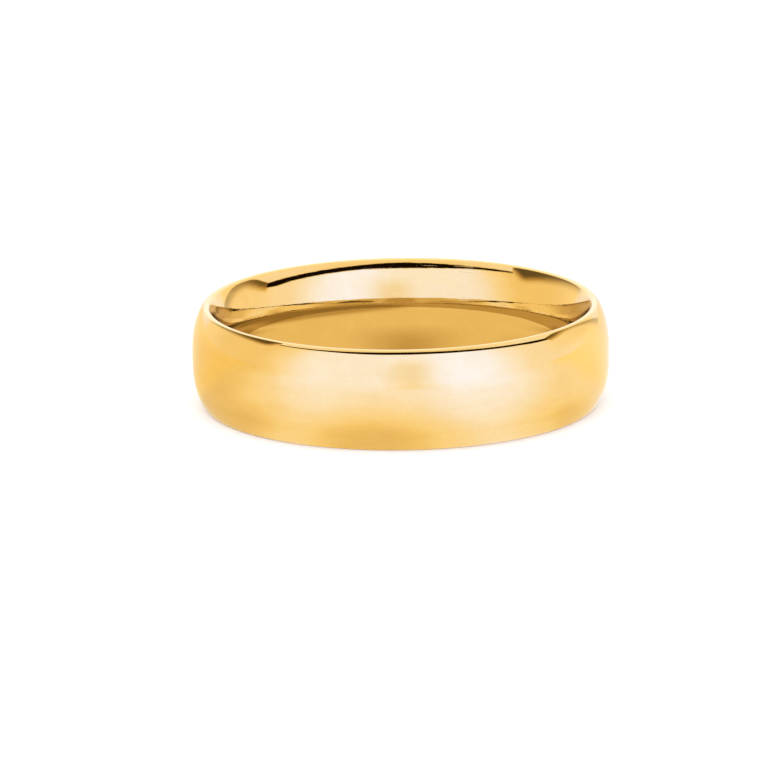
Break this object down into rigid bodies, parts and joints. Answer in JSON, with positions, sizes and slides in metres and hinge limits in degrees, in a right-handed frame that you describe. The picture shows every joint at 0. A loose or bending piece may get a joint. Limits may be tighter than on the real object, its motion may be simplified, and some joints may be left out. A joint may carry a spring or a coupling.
{
  "type": "wedding band",
  "caption": "Plain polished gold finger ring: a closed band, domed outside and domed inside, with softly rounded side edges.",
  "frame": {"origin": "centre of the finger hole, half way between the two side faces", "axes": "+Z along the finger axis, out of one side face; X and Y across the ring, which looks the same from every side"},
  "size_m": [0.0208, 0.0208, 0.005],
  "materials": {
    "gold": "mirror-polished yellow gold, 14 karat colour, with faint polishing lines"
  },
  "bodies": {
    "root": {"band": "gold"}
  },
  "joints": []
}
